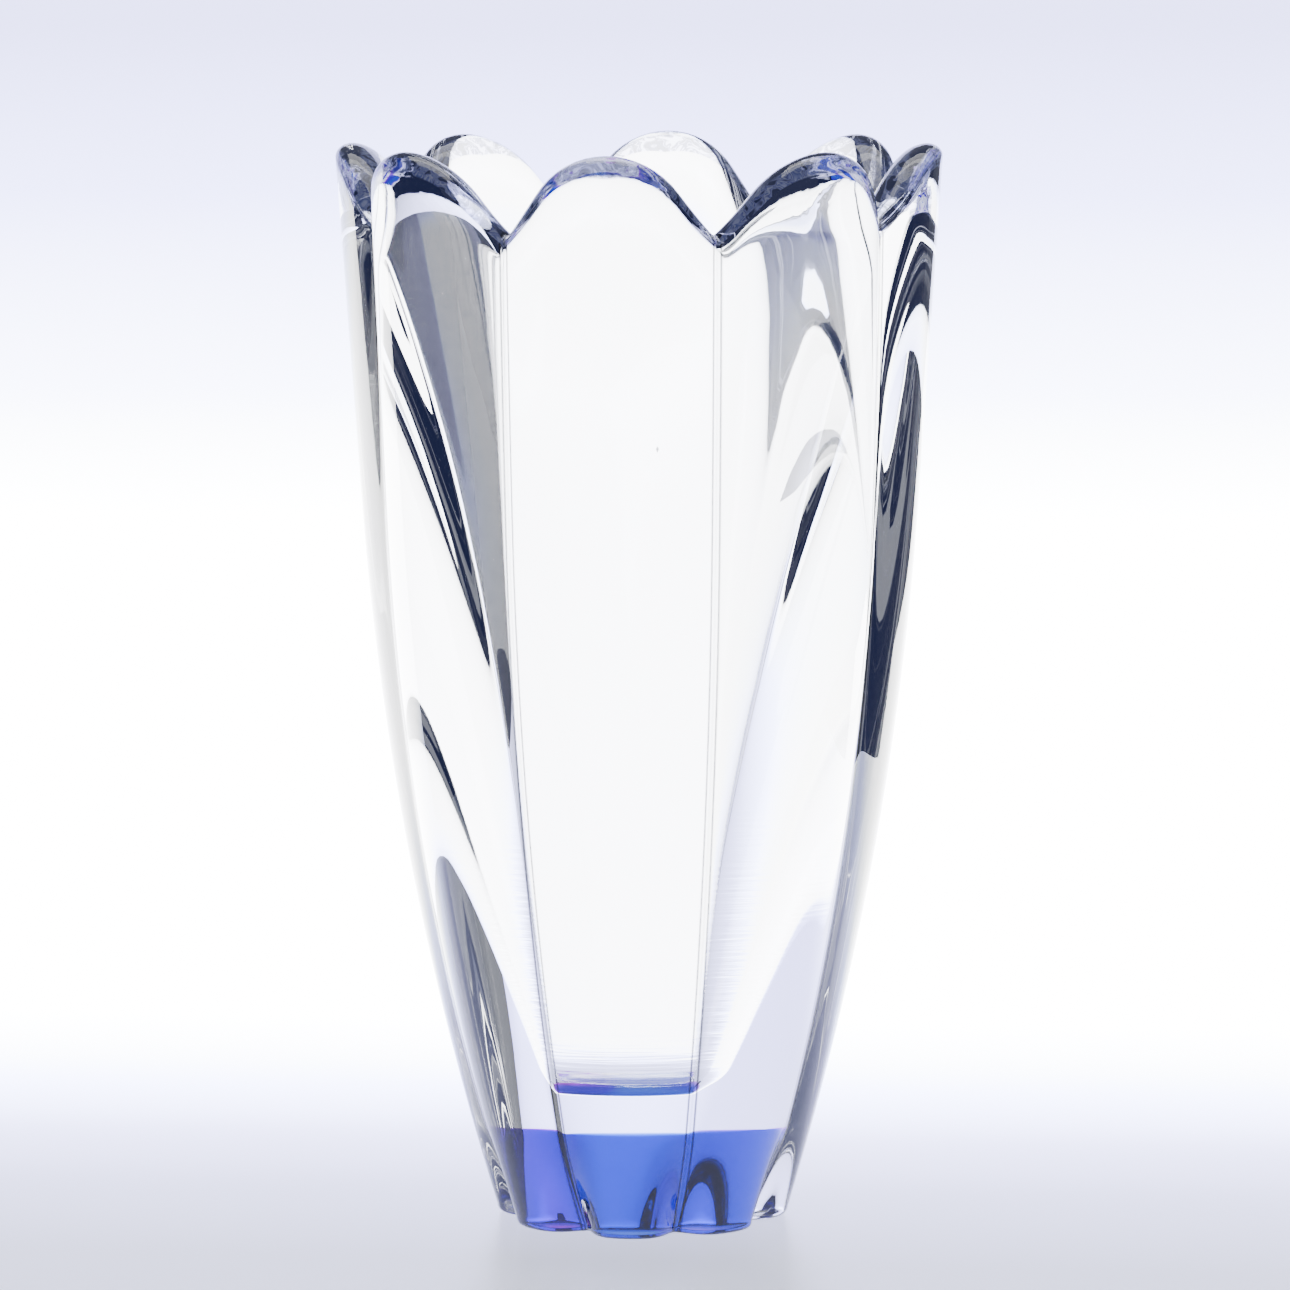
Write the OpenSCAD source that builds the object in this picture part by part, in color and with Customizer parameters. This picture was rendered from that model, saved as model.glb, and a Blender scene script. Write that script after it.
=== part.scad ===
// Cut crystal vase: a thick clear body of eight rounded petals, separated by
// sharp creases, round a tapering cavity, with a core of cobalt blue glass
// fused into the solid base.
// Millimetres, +Z up. The origin is the centre of the underside, and one
// petal faces -Y.

/* [Petals] */
// Number of petals round the vase
petals = 8; // [7:1:10]
// Overall height, at the tips of the petals
height = 200; // [170:1:230]
// Radius over the petals at the rim
rim_r = 56.3; // [55:0.1:58]
// Radius over the petals at the underside
foot_r = 26.9; // [26:0.1:29]
// Outward flare of the upper part, in degrees
flare = 4; // [3.5:0.1:4.5]
// Height below which the petals curve in towards the foot
taper_z = 132; // [120:1:145]
// Distance from the vase's axis to a petal's centre of curvature, low down
foot_c = 15; // [13:0.1:16]
// The same distance at the rim, where the petals are the most separate
rim_c = 34; // [30:0.1:36]
// Height above which the petals begin to separate
spread_z = 36; // [30:1:45]
// Extra depth of the creases where they meet the underside
foot_notch = 3.4; // [0:0.1:4.5]
// Height at which that extra depth has died away
notch_z = 19; // [15:1:25]
// Rounding of the edge round the underside
foot_round = 1.5; // [0.5:0.1:2.5]

/* [Scalloped rim] */
// Radius of the rounded tip of a petal
tip_r = 15.6; // [14:0.1:17]
// Angle to the level of a petal's straight flanks, in degrees
flank_angle = 55; // [50:1:58]
// Rounding of the rim's outer edge, measured inward
outer_edge = 3; // [1.5:0.1:3.5]
// Rounding of the rim's outer edge, measured downward
outer_rise = 2.3; // [1:0.1:3]
// Depth of the rim's long inner rounding at the middle of a petal
inner_drop = 14; // [10:0.5:16]
// Inward fall of the rim at its crest, in degrees
rim_fall = 4; // [2:1:10]

/* [Cavity] */
// Radius of the cavity's wall, carried up to the height of the petals' tips
mouth_r = 45.5; // [44:0.1:47]
// Height of the cavity's floor, which is the thickness of the base
floor_z = 27.5; // [24:0.5:32]
// Radius of the cavity where its wall meets the floor
floor_r = 12.5; // [10:0.5:15]
// Rounding between the cavity's wall and its floor
floor_round = 5; // [3:0.5:7]
// Bow of the cavity's wall: 1 is straight, less is fuller low down
wall_bow = 0.93; // [0.85:0.01:1]

/* [Blue core] */
// Radius of the blue core
core_r = 18.5; // [14:0.5:19]
// Height of the blue core, up from the underside
core_h = 20; // [15:0.5:22]

/* [Quality] */
// Divisions across one petal
across = 12; // [8:2:12]
// Divisions up the outside of the body
up_outside = 24; // [16:1:24]
// Divisions round the rim's inner slope
rim_steps = 8; // [4:1:8]
// Divisions up the cavity's wall
up_inside = 10; // [6:1:10]

/* [Hidden] */
$fn = 96;

// ---- The petals' shape ----

step_angle = 360 / petals;
columns = petals * across;

// What the foot draws in, besides the straight flare of the upper part
foot_draw = rim_r - height * tan(flare) - foot_r;

// Radius over the middle of the petals at height z
function peak_r(z) =
  rim_r - (height - z) * tan(flare)
  - foot_draw * pow(max(0, taper_z - z) / taper_z, 2);

// Distance from the vase's axis to a petal's centre of curvature at height z
function petal_c(z) =
  foot_c + (rim_c - foot_c)
  * pow(max(0, z - spread_z) / (height - spread_z), 1.4);

// How far the creases are deepened at height z
function notch(z) = foot_notch * pow(max(0, notch_z - z) / notch_z, 1.3);

// Radius of the outside at height z, at the angle a from a petal's middle
function outer_r(a, z) =
  let (c = petal_c(z), r = peak_r(z) - c)
    c * cos(a) + sqrt(r * r - pow(c * sin(a), 2))
    - notch(z) * pow(sin(a * petals / 2), 6);

// ---- The scalloped rim ----

// Where a petal's round tip runs into its straight flanks
tangent_x = tip_r * sin(flank_angle);
tangent_drop = tip_r * (1 - cos(flank_angle));

// Drop of the rim below the tip, at the distance x from a petal's middle
function rim_drop(x) =
  x < tangent_x
    ? tip_r - sqrt(tip_r * tip_r - x * x)
    : tangent_drop + (x - tangent_x) * tan(flank_angle);

// Height of the rim's crest at the angle a from a petal's middle
function crest_z(a) =
  let (r = outer_r(a, height - tangent_drop) - outer_edge / 2)
    height - rim_drop(abs(r * sin(a)));

// ---- The cavity ----

// Radius of the cavity at height z
function inner_r(z) =
  floor_r + (mouth_r - floor_r)
  * pow((z - floor_z) / (height - floor_z), wall_bow);

// How much that radius grows with each millimetre of height, at height z
function inner_slope(z) = inner_r(z + 0.5) - inner_r(z - 0.5);

// A point of the curve from p to q that sets out towards c and arrives from it
function bend(p, c, q, t) =
  (1 - t) * (1 - t) * p + 2 * t * (1 - t) * c + t * t * q;

// The same with two controls: it sets out towards c and arrives from d
function sweep(p, c, d, q, t) =
  (1 - t) * bend(p, c, d, t) + t * bend(c, d, q, t);

// ---- The body's profile, as [radius, height] points ----

// Radius that keeps the flat-sided pocket clear of the round core
pocket_r = core_r / cos(180 / columns);

// The pocket and the underside
function profile_foot(a) =
  let (r = outer_r(a, foot_round))
    [
      [pocket_r, core_h],
      [pocket_r, 0],
      [r - foot_round, 0],
      [r - foot_round * 0.3, foot_round * 0.3],
    ];

// The outside, up to the rim's outer edge
function profile_outside(a, edge) =
  let (top = crest_z(a) - edge)
    [
      for (i = [0 : up_outside])
        let (z = foot_round + (top - foot_round) * i / up_outside)
          [outer_r(a, z), z]
    ];

// Thickness of the wall at the rim's crest, at the angle a
function crest_wall(a) = outer_r(a, crest_z(a)) - inner_r(crest_z(a));

// The rim, rounded over its outer edge and then down its long inner slope
function profile_rim(a, run, rise) =
  let (
    z = crest_z(a),
    r_out = outer_r(a, z - rise),
    drop = inner_drop * crest_wall(a) / crest_wall(0),
    p = [r_out - run, z],
    q = [inner_r(z - drop), z - drop],
    flat = 0.55 * (p[0] - q[0]),
    steep = 0.5 * drop,
    c = p - flat * [1, tan(rim_fall)],
    d = q + steep * [inner_slope(z - drop), 1]
  )
    concat(
      [
        for (t = [30, 60, 90])
          [r_out - run * (1 - cos(t)), z - rise * (1 - sin(t))]
      ],
      [for (i = [1 : rim_steps]) sweep(p, c, d, q, i / rim_steps)]
    );

// The cavity's wall below the rim's inner edge, and the curve to its floor
function profile_inside(top) =
  let (
    bottom = floor_z + floor_round,
    p = [inner_r(bottom), bottom],
    c = [floor_r, floor_z],
    q = [floor_r - floor_round, floor_z]
  )
    concat(
      [
        for (i = [1 : up_inside])
          let (z = top + (bottom - top) * i / up_inside)
            [inner_r(z), z]
      ],
      [for (t = [0.33, 0.67, 1]) bend(p, c, q, t)]
    );

// The whole profile at the angle a from a petal's middle
function profile(a) =
  let (
    share = min(1, crest_wall(a) / 9),
    rim = profile_rim(a, outer_edge * share, outer_rise * share)
  )
    concat(
      profile_foot(a),
      profile_outside(a, outer_rise * share),
      rim,
      profile_inside(rim[len(rim) - 1][1])
    );

// ---- The pieces ----

rows = len(profile(0));

// Angle of a column from the middle of its own petal
function petal_angle(j) =
  ((j + across / 2) % across - across / 2) * step_angle / across;

profiles = [for (j = [0 : across - 1]) profile(petal_angle(j))];

// All the points, row by row, then the pocket's and the floor's centres
body_points = concat(
  [
    for (i = [0 : rows - 1])
      for (j = [0 : columns - 1])
        let (
          p = profiles[j % across][i],
          a = j * 360 / columns - 90
        )
          [p[0] * cos(a), p[0] * sin(a), p[1]]
  ],
  [[0, 0, core_h], [0, 0, floor_z]]
);

function next(j) = (j + 1) % columns;

roof_centre = rows * columns;
floor_centre = roof_centre + 1;
last_row = (rows - 1) * columns;

body_faces = concat(
  [
    for (i = [0 : rows - 2])
      for (j = [0 : columns - 1])
        let (k = i * columns)
          [k + j, k + columns + j, k + columns + next(j)]
  ],
  [
    for (i = [0 : rows - 2])
      for (j = [0 : columns - 1])
        let (k = i * columns)
          [k + j, k + columns + next(j), k + next(j)]
  ],
  [for (j = [0 : columns - 1]) [roof_centre, j, next(j)]],
  [
    for (j = [0 : columns - 1])
      [floor_centre, last_row + next(j), last_row + j]
  ]
);

module crystal_body() {
  color([0.90, 0.94, 1.0, 0.55])
    polyhedron(points = body_points, faces = body_faces, convexity = 10);
}

module blue_core() {
  color("mediumblue")
    cylinder(r = core_r, h = core_h);
}

crystal_body();
blue_core();
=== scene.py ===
# Cut crystal vase with a cobalt blue core, in metres, in the CAD's own frame.
from math import cos, pi, radians, sin, tan

import bpy
import numpy as np
from mathutils import Matrix, Vector


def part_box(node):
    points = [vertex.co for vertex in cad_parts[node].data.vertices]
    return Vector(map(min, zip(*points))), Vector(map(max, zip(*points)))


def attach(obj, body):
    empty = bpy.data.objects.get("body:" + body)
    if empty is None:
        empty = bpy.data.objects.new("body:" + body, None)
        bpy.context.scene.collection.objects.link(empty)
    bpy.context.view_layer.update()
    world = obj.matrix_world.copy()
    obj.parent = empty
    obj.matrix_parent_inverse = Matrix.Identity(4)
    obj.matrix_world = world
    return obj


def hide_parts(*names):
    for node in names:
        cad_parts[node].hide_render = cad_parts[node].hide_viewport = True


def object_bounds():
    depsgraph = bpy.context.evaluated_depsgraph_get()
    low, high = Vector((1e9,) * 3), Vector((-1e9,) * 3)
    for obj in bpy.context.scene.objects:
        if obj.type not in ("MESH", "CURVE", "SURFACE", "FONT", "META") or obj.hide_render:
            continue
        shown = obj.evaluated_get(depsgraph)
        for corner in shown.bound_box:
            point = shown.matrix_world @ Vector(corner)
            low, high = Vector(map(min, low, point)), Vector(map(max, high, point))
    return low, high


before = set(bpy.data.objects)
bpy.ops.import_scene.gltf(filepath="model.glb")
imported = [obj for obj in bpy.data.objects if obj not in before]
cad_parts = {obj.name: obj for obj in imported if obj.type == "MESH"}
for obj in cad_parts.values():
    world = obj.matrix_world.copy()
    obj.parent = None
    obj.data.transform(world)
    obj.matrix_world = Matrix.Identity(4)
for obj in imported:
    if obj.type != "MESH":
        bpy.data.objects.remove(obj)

cad_low, cad_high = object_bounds()

# ---- Sizes in millimetres, the same as the CAD's ----
H = 200.0
MM = (cad_high[2] - cad_low[2]) / H     # metres in a millimetre
PETALS = 8
STEP = 2 * pi / PETALS
RIM_R, FOOT_R = 56.3, 26.9              # over the petals, at the tips and at the table
FLARE, TAPER_Z = radians(4.0), 132.0    # straight flare, and where the curve into the foot starts
FOOT_C, RIM_C = 15.0, 34.0              # a petal's arc centre, at the foot and at the rim
SPREAD_Z = 36.0                         # where it starts to move out
SPREAD_POWER = 1.4
FOOT_ROUND = 1.5
FOOT_NOTCH, NOTCH_Z = 3.4, 19.0         # the creases' extra depth at the foot, and its height
NOTCH_POWER, NOTCH_WIDTH = 1.3, 6       # how fast a notch fades upwards, and how narrow it is
CREASE = 0.35
TIP_R, FLANK = 15.6, radians(55.0)      # a petal tip's round top, and the flanks beside it
OUTER_EDGE, OUTER_RISE = 3.0, 2.3       # the rim's outer rounding, across and up
FULL_EDGE_WALL = 9.0                    # the wall from which that rounding has its full size
RIM_FALL = radians(4.0)                 # the rim's top face falls inward by this
RIM_DEPTH, RIM_WALL = 14.0, 10.5        # the inner rounding's depth, at this wall thickness
RIM_FLAT, RIM_STEEP = 0.55, 0.5         # how far its curve keeps flat, and then steep
MOUTH_R, FLOOR_Z, FLOOR_R, FLOOR_ROUND = 45.5, 27.5, 12.5, 5.0
CAVITY_POWER = 0.93
CAVITY_LEAN, LEAN_TO = 1.2, radians(186.3)    # the cavity floor's shift off the axis
LEAN_TOP, LEAN_HEIGHT = 150.0, 90.0

FOOT_DRAW = RIM_R - H * tan(FLARE) - FOOT_R
TANGENT_X = TIP_R * sin(FLANK)
TANGENT_DROP = TIP_R * (1 - cos(FLANK))

# How finely the body is divided
COLUMNS_PER_PETAL = 36
INSETS = (10.0, 4.0, 0.4, 0.0)          # rings on the underside, in from its edge
FOOT_ROWS, WALL_ROWS, EDGE_ROWS, RIM_ROWS, CAVITY_ROWS, CORNER_ROWS = 6, 130, 8, 36, 110, 12
OUTSIDE_ROWS = len(INSETS) + FOOT_ROWS + WALL_ROWS + EDGE_ROWS
FLOOR_RINGS = (0.8, 0.5, 0.2)

# The core, a little inside the CAD's cylinder, with rounded edges
core_low, core_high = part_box("blue_core")
CORE_R = (core_high[0] - core_low[0]) / 2 / MM
CORE_H = core_high[2] / MM
CORE_EDGE = 1.2
CORE_GAP = 0.05
CORE_Z = 0.15
CORE_COLUMNS = 128

# ---- Looks ----
CRYSTAL_IOR = 1.545
CLEAR_TINT = (0.985, 0.99, 1.0)
# Painted glow: emission over the whole crystal
PAINTED_INNER_GLOW = (0.00225, 0.00288, 0.009)
# Painted shade for the lines beside the creases, and the colour of the one dark speck
CREASE_SHADE_AND_SPECK_TINT = (0.03, 0.03, 0.033)
# Painted reflection in the band under the rim: its strength, then its dark navy tints with paler
# streaks
PAINTED_RIM_BAND_STRENGTH = 0.95
PAINTED_RIM_REFLECTION_TINTS = [
    (0.36, (0.003, 0.004, 0.02)),
    (0.45, (0.006, 0.008, 0.04)),
    (0.48, (0.20, 0.21, 0.34)),
    (0.51, (0.008, 0.01, 0.05)),
    (0.57, (0.005, 0.006, 0.03)),
    (0.61, (0.22, 0.23, 0.36)),
]
# Painted glow: emission streaks in the band under the rim
PAINTED_RIM_GLOW_STREAKS = [
    (0.38, (0.01, 0.013, 0.04)),
    (0.46, (0.09, 0.10, 0.20)),
    (0.49, (0.02, 0.025, 0.09)),
    (0.54, (0.13, 0.14, 0.22)),
    (0.58, (0.03, 0.04, 0.12)),
    (0.66, (0.11, 0.12, 0.20)),
]
CORE_TINT = (0.05, 0.36, 0.78)
CORE_DENSITY = 185
# Painted light across the core, from its violet side to its plain side: the cobalt itself is one
# even colour, so these tints stand in for light bent through the crystal
CORE_PAINTED_LIGHT_RAMP = [
    (0.0, (0.85, 0.0004, 0.75)),
    (0.28, (0.85, 0.0015, 0.75)),
    (0.38, (1.0, 1.0, 1.0)),
    (0.62, (1.0, 1.0, 1.0)),
    (0.75, (0.88, 0.34, 0.9)),
    (1.0, (0.88, 0.30, 0.9)),
]

# ---- Studio, in metres ----
SWEEP_X = (-1.9, 0.4)
SWEEP_BACK, SWEEP_FRONT, SWEEP_TOP, SWEEP_BEND = 1.3, 0.9, 0.75, 0.6
SWEEP_GLOW = 17.0
GLOW_AWAY, GLOW_UP = 1.22, 0.254        # the fixed point in front that slopes start from
# (slope of the line from that point, glow, tint), from the floor's front edge up
GLOW = [
    (-0.300, 0.7, (0.80, 0.82, 1.0)),
    (-0.216, 1.2, (0.75, 0.78, 1.0)),
    (-0.205, 2.5, (0.60, 0.62, 1.0)),
    (-0.197, 5.0, (0.57, 0.58, 1.0)),
    (-0.189, 12.0, (0.57, 0.62, 1.0)),
    (-0.183, 14.0, (0.87, 0.91, 1.0)),
    (-0.175, 17.0, (1.0, 1.0, 1.0)),
    (-0.105, 17.0, (1.0, 1.0, 1.0)),
    (-0.096, 15.0, (0.92, 0.95, 1.0)),
    (-0.082, 12.0, (0.70, 0.74, 1.0)),
    (-0.052, 8.0, (0.48, 0.50, 1.0)),
    (-0.027, 4.8, (0.46, 0.46, 1.0)),
    (0.120, 2.8, (0.50, 0.50, 1.0)),
]
# name, place, size, turn
CARDS = [
    ("left_flag", (-0.26, -0.12, 0.0), (0.42, 0.5), radians(90)),
    ("right_flag", (0.36, 0.02, 0.0), (0.5, 0.6), radians(-70)),
]
# name, place, what it aims at, size, power
LIGHTS = [
    ("top", (0, 0.3, 1.9), (0, 0.3, 0), (1.6, 1.6), 26),
    ("left", (-1.5, -0.3, 0.9), (0, 0, 0.1), (0.7, 1.2), 10),
    ("right", (1.5, -0.3, 0.9), (0, 0, 0.1), (0.7, 1.2), 8),
    ("wall", (0, 0.4, 1.9), (0, 1.6, 0.7), (1.8, 0.5), 10),
]
ROOM_COLOR, ROOM_LIGHT = (0.16, 0.165, 0.18), 1.7
CAMERA_AZIMUTH, CAMERA_PITCH, CAMERA_ROLL = radians(6.24), radians(6.82), radians(-0.24)
CAMERA_AWAY, CAMERA_UP = 1.230, 0.254
CAMERA_LENS, CAMERA_SENSOR, CAMERA_SHIFT = 186.16, 36, 0.0037


# ---- The body's shape, in millimetres ----
def smooth_max(a, b, k):
    return 0.5 * (a + b) + np.sqrt(0.25 * (a - b) ** 2 + k * k)


def peak_r(z):
    """The radius over the petals."""
    foot = (np.maximum(0, TAPER_Z - z) / TAPER_Z) ** 2
    return RIM_R - (H - z) * tan(FLARE) - FOOT_DRAW * foot


def lobe_r(a, z):
    """The radius of one petal's arc, at an angle from its middle."""
    spread = np.maximum(0, z - SPREAD_Z) / (H - SPREAD_Z)
    c = FOOT_C + (RIM_C - FOOT_C) * spread ** SPREAD_POWER
    rho = peak_r(z) - c
    return c * np.cos(a) + np.sqrt(np.maximum(rho ** 2 - (c * np.sin(a)) ** 2, 1e-6))


def outer_r(a, z):
    """The outside's radius: the nearest two petals, and the notch between them at the foot."""
    a = np.abs(a)
    notch = FOOT_NOTCH * (np.maximum(0, NOTCH_Z - z) / NOTCH_Z) ** NOTCH_POWER
    petals = smooth_max(lobe_r(a, z), lobe_r(STEP - a, z), CREASE)
    return petals - notch * np.sin(a * PETALS / 2) ** NOTCH_WIDTH


def rim_drop(x):
    """How far the rim is below the tip, at a distance to the side of it."""
    x = np.abs(x)
    arc = TIP_R - np.sqrt(np.maximum(TIP_R ** 2 - x ** 2, 0))
    return np.where(x < TANGENT_X, arc, TANGENT_DROP + (x - TANGENT_X) * tan(FLANK))


def crest_z(a):
    """The rim's height."""
    a = np.abs(a)
    z = H - TANGENT_DROP
    own = H - rim_drop((lobe_r(a, z) - OUTER_EDGE / 2) * np.sin(a))
    other = H - rim_drop((lobe_r(STEP - a, z) - OUTER_EDGE / 2) * np.sin(STEP - a))
    return smooth_max(own, other, 0.25)


def inner_r(z):
    """The cavity's radius."""
    t = (np.asarray(z, float) - FLOOR_Z) / (H - FLOOR_Z)
    return FLOOR_R + (MOUTH_R - FLOOR_R) * np.maximum(t, 0) ** CAVITY_POWER


def steps(n, end=1.0):
    """The n even steps from 0 to end, without 0 itself."""
    return np.linspace(0, end, n + 1)[1:]


def bezier(t, *points):
    """The (radius, height) at t on the Bezier curve with these control points."""
    while len(points) > 1:
        points = [
            tuple((1 - t) * p + t * q for p, q in zip(a, b))
            for a, b in zip(points, points[1:])
        ]
    return points[0]


def body_rows(a):
    """The body's rings from the underside's centre up the outside, over the rim and down
    the cavity to its floor: a list of (radius, height) arrays over the column angles a."""
    rows = []
    level = 0 * a
    foot = outer_r(a, FOOT_ROUND)
    for inset in INSETS:
        rows.append((foot - FOOT_ROUND - inset, level))
    for t in steps(FOOT_ROWS, pi / 2):
        rows.append((foot - FOOT_ROUND * (1 - sin(t)), level + FOOT_ROUND * (1 - cos(t))))
    # Up the outside and round its edge
    crest = crest_z(a)
    wall = outer_r(a, crest) - inner_r(crest)
    edge = np.minimum(1, wall / FULL_EDGE_WALL)
    top = crest - OUTER_RISE * edge
    for t in steps(WALL_ROWS):
        z = FOOT_ROUND + (top - FOOT_ROUND) * t
        rows.append((outer_r(a, z), z))
    r_top = outer_r(a, top)
    for t in steps(EDGE_ROWS, pi / 2):
        rows.append((
            r_top - OUTER_EDGE * edge * (1 - cos(t)),
            top + OUTER_RISE * edge * sin(t),
        ))
    # Inward over the rim and into the cavity
    drop = RIM_DEPTH * wall / RIM_WALL
    z_in = crest - drop
    r_in = inner_r(z_in)
    slope = inner_r(z_in + 0.5) - inner_r(z_in - 0.5)
    r_edge = r_top - OUTER_EDGE * edge
    flat = RIM_FLAT * (r_edge - r_in)
    steep = RIM_STEEP * drop
    curve = [
        (r_edge, crest),
        (r_edge - flat, crest - flat * tan(RIM_FALL)),
        (r_in + steep * slope, z_in + steep),
        (r_in, z_in),
    ]
    for t in steps(RIM_ROWS):
        rows.append(bezier(t, *curve))
    # Down the cavity, round its corner and across its floor
    bottom = FLOOR_Z + FLOOR_ROUND
    for t in steps(CAVITY_ROWS):
        z = z_in + (bottom - z_in) * t
        rows.append((inner_r(z), z))
    flat_r = FLOOR_R - FLOOR_ROUND
    for t in steps(CORNER_ROWS):
        r, z = bezier(t, (inner_r(bottom), bottom), (FLOOR_R, FLOOR_Z), (flat_r, FLOOR_Z))
        rows.append((level + r, level + z))
    for k in FLOOR_RINGS:
        rows.append((level + flat_r * k, level + FLOOR_Z))
    return rows


def cavity_drift(z, row):
    """The cavity leans a little off the vase's axis towards its floor."""
    w = np.clip((LEAN_TOP - z) / LEAN_HEIGHT, 0, 1)
    w = w * w * (3 - 2 * w) * (row >= OUTSIDE_ROWS)
    d = np.array([cos(LEAN_TO), sin(LEAN_TO)]) * CAVITY_LEAN
    return w * d[0], w * d[1], d


def core_rows(a):
    """The core's rings, from its underside up to its top."""
    rows = []
    level = 0 * a
    side = CORE_R - CORE_GAP
    for r in (CORE_R * 0.5, CORE_R - CORE_EDGE):
        rows.append((level + r, level + CORE_Z))
    for t in steps(5, pi / 2):
        rows.append((
            level + side - CORE_EDGE * (1 - sin(t)),
            level + CORE_Z + CORE_EDGE * (1 - cos(t)),
        ))
    for t in steps(8)[:-1]:
        height = CORE_H - 2 * CORE_EDGE - CORE_Z
        rows.append((level + side, level + CORE_Z + CORE_EDGE + height * t))
    for t in np.linspace(0, pi / 2, 6):
        rows.append((
            level + side - CORE_EDGE * (1 - cos(t)),
            level + CORE_H - CORE_EDGE + CORE_EDGE * sin(t),
        ))
    rows.append((level + CORE_R * 0.5, level + CORE_H))
    return rows


def link(name, data):
    """A new object in the scene."""
    obj = bpy.data.objects.new(name, data)
    bpy.context.scene.collection.objects.link(obj)
    return obj


def ring_mesh(name, rows, angles, first_z, last_z, drift=None):
    """A closed mesh through the rings, with a centre point at each end."""
    n, m = len(rows), len(angles)
    r = np.array([row[0] for row in rows])
    z = np.array([row[1] for row in rows])
    x, y = r * np.cos(angles), r * np.sin(angles)
    end = (0, 0)
    if drift:
        dx, dy, end = drift(z, np.arange(n)[:, None])
        x, y = x + dx, y + dy
    ends = np.array([(0, 0, first_z), (end[0], end[1], last_z)])
    points = np.vstack([np.stack([x, y, z], -1).reshape(-1, 3), ends]) * MM
    i = np.arange(n - 1)[:, None] * m
    j = np.arange(m)[None, :]
    k = (j + 1) % m
    quads = np.stack([i + j, i + k, i + m + k, i + m + j], -1).reshape(-1, 4)
    j, k = j[0], k[0]
    last = (n - 1) * m
    low = np.stack([np.full(m, n * m), k, j], -1)
    high = np.stack([np.full(m, n * m + 1), last + j, last + k], -1)
    mesh = bpy.data.meshes.new(name)
    mesh.from_pydata(points.tolist(), [], quads.tolist() + low.tolist() + high.tolist())
    mesh.validate()
    mesh.shade_smooth()
    return link(name, mesh)


# Columns crowd towards the creases
even = np.linspace(-1, 1, COLUMNS_PER_PETAL + 1)[:-1]
one_petal = STEP / 2 * np.sin(pi / 2 * even)
petal_angles = np.tile(one_petal, PETALS)
body_angles = np.concatenate([one_petal + i * STEP - pi / 2 for i in range(PETALS)])
body = ring_mesh("vase_body", body_rows(petal_angles), body_angles, 0.0, FLOOR_Z, cavity_drift)

core_angles = np.linspace(0, 2 * pi, CORE_COLUMNS, endpoint=False)
core = ring_mesh("vase_core", core_rows(core_angles), core_angles, CORE_Z, CORE_H)


# ---- Materials ----
def rgba(color):
    return tuple(color) + (1,)


def greys(*stops):
    return [(place, (v, v, v)) for place, v in stops]


class Look:
    """A new node material, with short ways to add nodes to it."""

    def __init__(self, name):
        self.material = bpy.data.materials.new(name)
        self.material.use_nodes = True
        self.tree = self.material.node_tree
        self.bsdf = self.tree.nodes["Principled BSDF"]
        self.out = self.tree.nodes["Material Output"]

    def feed(self, node, inputs):
        """Gives a node's inputs, by name or number, a socket or a plain value each."""
        for key, value in inputs.items():
            if isinstance(value, bpy.types.NodeSocket):
                self.tree.links.new(value, node.inputs[key])
            else:
                node.inputs[key].default_value = value

    def add(self, kind, inputs, **settings):
        node = self.tree.nodes.new(kind)
        for key, value in settings.items():
            setattr(node, key, value)
        self.feed(node, inputs)
        return node

    def place(self):
        """The object's own coordinates, as a vector and as x, y and z."""
        vector = self.add("ShaderNodeTexCoord", {}).outputs["Object"]
        return vector, self.add("ShaderNodeSeparateXYZ", {0: vector}).outputs

    def maths(self, operation, *values):
        node = self.add("ShaderNodeMath", dict(enumerate(values)), operation=operation)
        return node.outputs[0]

    def span(self, value, low, high, to_low=0.0, to_high=1.0):
        """A value spread from one range over another, and held inside it."""
        return self.add("ShaderNodeMapRange", {
            "Value": value,
            "From Min": low,
            "From Max": high,
            "To Min": to_low,
            "To Max": to_high,
        }).outputs["Result"]

    def ramp(self, value, stops):
        """The colour for a value, on a ramp through the (place, colour) stops."""
        node = self.add("ShaderNodeValToRGB", {0: value})
        elements = node.color_ramp.elements
        for k, (place, color) in ((0, stops[0]), (1, stops[-1])):
            elements[k].position = place
            elements[k].color = rgba(color)
        for place, color in stops[1:-1]:
            elements.new(place).color = rgba(color)
        return node.outputs["Color"]

    def mix(self, factor, a, b):
        """One colour into another; inputs 0, 6 and 7 and output 2 are the colour ones."""
        node = self.add("ShaderNodeMix", {0: factor, 6: a, 7: b}, data_type="RGBA")
        return node.outputs[2]

    def noise(self, vector, scale, detail=2.0, distortion=0.0):
        return self.add("ShaderNodeTexNoise", {
            "Vector": vector,
            "Scale": scale,
            "Detail": detail,
            "Distortion": distortion,
        }).outputs["Fac"]

    def bump(self, height, strength, distance, normal=None):
        inputs = {"Height": height, "Strength": strength, "Distance": distance}
        if normal:
            inputs["Normal"] = normal
        return self.add("ShaderNodeBump", inputs).outputs["Normal"]


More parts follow.
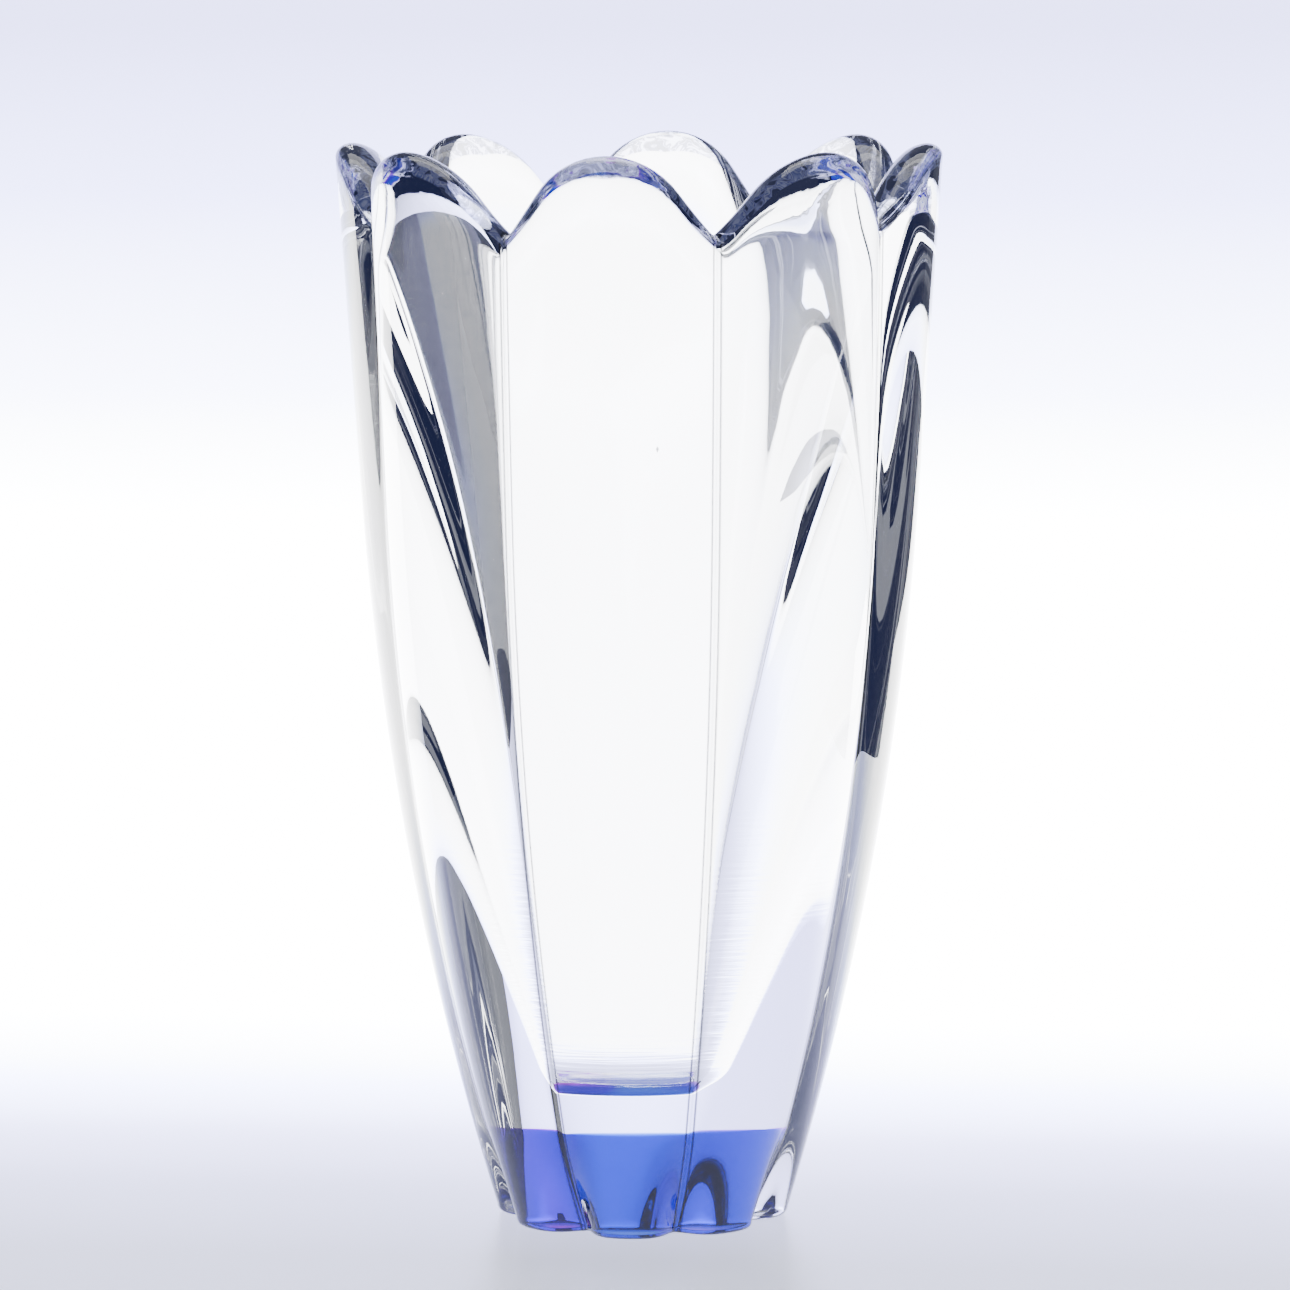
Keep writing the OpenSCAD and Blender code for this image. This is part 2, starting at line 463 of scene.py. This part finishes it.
def crystal_material():
    look = Look("clear_crystal")
    f = look.maths
    vector, (x, y, z) = look.place()
    look.feed(look.bsdf, {"Transmission Weight": 1.0, "IOR": CRYSTAL_IOR})

    # Distance from the nearest crease, and whether this is the outside
    radius = f("SQRT", f("ADD", f("MULTIPLY", x, x), f("MULTIPLY", y, y)))
    off = f("PINGPONG", f("ADD", f("ARCTAN2", y, x), 2 * pi), STEP / 2)
    from_crease = f("MULTIPLY", f("SUBTRACT", STEP / 2, off), radius)
    # A cone between the cavity's wall and the outside parts the two
    cone_r, cone_slope = 0.0145, 0.1913
    above_floor = f("SUBTRACT", z, FLOOR_Z * MM)
    beyond = f("SUBTRACT", radius, f("MULTIPLY", above_floor, cone_slope))
    outside = f("GREATER_THAN", beyond, cone_r)

    # Painted shade: dark lines on each side of every crease, standing in for where the glass bends
    # light away. The ramp spans 1/600 m, and the painted lines are fainter on the back half.
    painted_crease_shade = look.ramp(f("MULTIPLY", from_crease, 600.0), greys(
        (0.0, 0.5), (0.12, 0.3), (0.24, 0.0), (0.34, 1.0), (0.48, 1.0), (0.62, 0.0)))
    fading = f("MULTIPLY", f("GREATER_THAN", y, 0.0), 0.75)
    crease_shade_and_speck = f("MULTIPLY", f("MULTIPLY", painted_crease_shade, outside), f("SUBTRACT", 1.0, fading))
    # One dark speck in the front petal
    speck_x, speck_z, speck_size = 0.0088, 0.148, 0.0003
    across = f("ABSOLUTE", f("SUBTRACT", x, speck_x))
    along = f("MULTIPLY", f("ABSOLUTE", f("SUBTRACT", z, speck_z)), 0.5)
    speck = f("LESS_THAN", f("ADD", across, along), speck_size)
    in_front = f("LESS_THAN", y, 0.0)
    crease_shade_and_speck = f("MAXIMUM", crease_shade_and_speck, f("MULTIPLY", f("MULTIPLY", speck, outside), in_front))

    # Painted reflection: the band under the rim, where its inner rounding shows through the wall,
    # is tinted dark navy with paler streaks, for the blue that the rim's top face reflects down
    # from the foot. It is widest under the tips and narrows towards the creases.
    band_width, band_narrows = 0.0042, 0.17
    tip_r, tangent_x = TIP_R * MM, TANGENT_X * MM
    side = f("MULTIPLY", radius, f("SINE", off))
    tip = f("MINIMUM", side, tangent_x)
    under_tip = f("SQRT", f("SUBTRACT", tip_r ** 2, f("MULTIPLY", tip, tip)))
    arc = f("SUBTRACT", tip_r, under_tip)
    flank = f("MULTIPLY", f("MAXIMUM", f("SUBTRACT", side, tangent_x), 0.0), tan(FLANK))
    under = f("SUBTRACT", f("SUBTRACT", H * MM, f("ADD", arc, flank)), z)
    depth = f("DIVIDE", under, f("SUBTRACT", band_width, f("MULTIPLY", side, band_narrows)))
    painted_rim_band = look.ramp(depth, greys((0.0, 0.0), (0.10, 0.0), (0.18, 1.0), (0.90, 1.0), (1.0, 0.0)))
    painted_rim_band = f("MULTIPLY", painted_rim_band, outside)
    swirl = look.noise(vector, 330, 1.0, 1.6)
    painted_rim_reflection = look.ramp(swirl, PAINTED_RIM_REFLECTION_TINTS)
    tint = look.mix(f("MULTIPLY", painted_rim_band, PAINTED_RIM_BAND_STRENGTH), rgba(CLEAR_TINT), painted_rim_reflection)
    # Painted glow: emission on the glass stands in for light that wanders too long in it; it is
    # stronger in the band, in painted streaks
    painted_glow = look.mix(painted_rim_band, rgba(PAINTED_INNER_GLOW), look.ramp(swirl, PAINTED_RIM_GLOW_STREAKS))
    # The base colour carries the painted crease shade, the speck and the painted rim reflection;
    # the emission is painted glow
    look.feed(look.bsdf, {
        "Base Color": look.mix(crease_shade_and_speck, tint, rgba(CREASE_SHADE_AND_SPECK_TINT)),
        "Emission Color": painted_glow,
        "Emission Strength": 1.0,
    })

    # Slow waves that hand polishing leaves, and livelier ones round the rim
    normal = look.bump(look.noise(vector, 45, 1.5), 0.25, 0.0002)
    near_rim = look.span(z, 0.188, 0.195)
    normal = look.bump(look.noise(vector, 240), near_rim, 0.00008, normal)
    # Faint level striations low in the cavity, left by turning
    squash = look.add("ShaderNodeVectorMath", {0: vector, 1: (60, 60, 1400)}, operation="MULTIPLY")
    low = look.span(z, 0.085, 0.030, 0.0, 0.5)
    turned = look.noise(squash.outputs[0], 1.0)
    inside = f("SUBTRACT", 1.0, outside)
    normal = look.bump(turned, f("MULTIPLY", low, inside), 0.00018, normal)
    # A trace of haze
    haze = look.span(look.noise(vector, 160), 0.0, 1.0, 0.0, 0.02)
    look.feed(look.bsdf, {"Normal": normal, "Roughness": haze})
    return look.material


def cobalt_material():
    look = Look("cobalt_glass")
    x = look.place()[1][0]
    look.feed(look.bsdf, {
        # Painted light: base tints across the core, not the cobalt's own colour
        "Base Color": look.ramp(look.span(x, -0.0165, 0.0165), CORE_PAINTED_LIGHT_RAMP),
        "Transmission Weight": 1.0,
        "IOR": 1.0,
        "Roughness": 0.0,
    })
    volume = look.add("ShaderNodeVolumeAbsorption", {
        "Color": rgba(CORE_TINT),
        "Density": CORE_DENSITY,
    })
    look.feed(look.out, {"Volume": volume.outputs["Volume"]})
    return look.material


body.data.materials.append(crystal_material())
core.data.materials.append(cobalt_material())
for piece, node, slot in (
    (body, "crystal_body", "clear_crystal"),
    (core, "blue_core", "cobalt_glass"),
):
    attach(piece, "root")
    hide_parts(node)


# ---- Studio ----
def sweep_material():
    """Pale paper with a glow that is brightest behind the vase. It is clear from behind
    and below, so that it doesn't hide the vase from there."""
    look = Look("sweep_paper")
    f = look.maths
    y, z = look.place()[1][1:]
    slope = f("DIVIDE", f("SUBTRACT", z, GLOW_UP), f("ADD", y, GLOW_AWAY))
    # The slopes in use, moved into the ramp's range of 0 to 1
    scale, start = 2.0, 0.6
    stops = []
    for at, strength, tint in GLOW:
        color = tuple(strength / SWEEP_GLOW * c for c in tint)
        stops.append((at * scale + start, color))
    look.feed(look.bsdf, {
        "Base Color": (0.30, 0.31, 0.36, 1),
        "Roughness": 0.35,
        "Emission Color": look.ramp(f("MULTIPLY_ADD", slope, scale, start), stops),
        "Emission Strength": SWEEP_GLOW,
    })
    side = look.add("ShaderNodeMixShader", {
        0: look.add("ShaderNodeNewGeometry", {}).outputs["Backfacing"],
        1: look.bsdf.outputs["BSDF"],
        2: look.add("ShaderNodeBsdfTransparent", {}).outputs["BSDF"],
    })
    look.feed(look.out, {"Surface": side.outputs[0]})
    return look.material


def sweep():
    """A pale glowing floor that curves up into a backdrop."""
    left, right = SWEEP_X
    profile = [(-SWEEP_FRONT, 0.0), (0.0, 0.0)]
    for t in np.linspace(0, pi / 2, 17):
        y = SWEEP_BACK - SWEEP_BEND + SWEEP_BEND * sin(t)
        profile.append((y, SWEEP_BEND * (1 - cos(t))))
    profile.append((SWEEP_BACK, SWEEP_TOP))
    points = [(x, y, z) for y, z in profile for x in (left, right)]
    faces = [(i, i + 1, i + 3, i + 2) for i in range(0, len(points) - 2, 2)]
    mesh = bpy.data.meshes.new("sweep")
    mesh.from_pydata(points, [], faces)
    mesh.shade_smooth()
    mesh.materials.append(sweep_material())
    link("sweep", mesh)


def card(name, place, size, turn):
    """A black card beside the vase that the glass picks up and the camera doesn't."""
    w, h = size
    mesh = bpy.data.meshes.new(name)
    corners = [(-w / 2, 0, 0), (w / 2, 0, 0), (w / 2, 0, h), (-w / 2, 0, h)]
    mesh.from_pydata(corners, [], [(0, 1, 2, 3)])
    look = Look(name + "_card")
    look.feed(look.bsdf, {"Base Color": (0.004, 0.004, 0.004, 1), "Roughness": 0.8})
    mesh.materials.append(look.material)
    obj = link(name, mesh)
    obj.location = place
    obj.rotation_euler = (0, 0, turn)
    obj.visible_camera = False


def area(name, place, aim, size, power):
    data = bpy.data.lights.new(name, "AREA")
    data.shape = "RECTANGLE"
    data.size, data.size_y = size
    data.energy = power
    obj = link(name, data)
    obj.location = place
    toward = Vector(aim) - Vector(place)
    obj.rotation_euler = toward.to_track_quat("-Z", "Y").to_euler()


sweep()
for row in CARDS:
    card(*row)
for row in LIGHTS:
    area(*row)

world = bpy.data.worlds.new("room")
bpy.context.scene.world = world
world.use_nodes = True
background = world.node_tree.nodes["Background"]
background.inputs["Color"].default_value = rgba(ROOM_COLOR)
background.inputs["Strength"].default_value = ROOM_LIGHT

# ---- Camera ----
camera_data = bpy.data.cameras.new("camera")
camera_data.sensor_width = CAMERA_SENSOR
camera_data.lens = CAMERA_LENS
camera_data.shift_x = CAMERA_SHIFT
camera = link("camera", camera_data)
ahead = Vector((-sin(CAMERA_AZIMUTH), cos(CAMERA_AZIMUTH), 0))
look_along = ahead * cos(CAMERA_PITCH) - Vector((0, 0, sin(CAMERA_PITCH)))
turned = look_along.to_track_quat("-Z", "Y").to_matrix().to_4x4()
stand = Matrix.Translation(Vector((0, 0, CAMERA_UP)) - CAMERA_AWAY * ahead)
camera.matrix_world = stand @ turned @ Matrix.Rotation(CAMERA_ROLL, 4, "Z")
bpy.context.scene.camera = camera
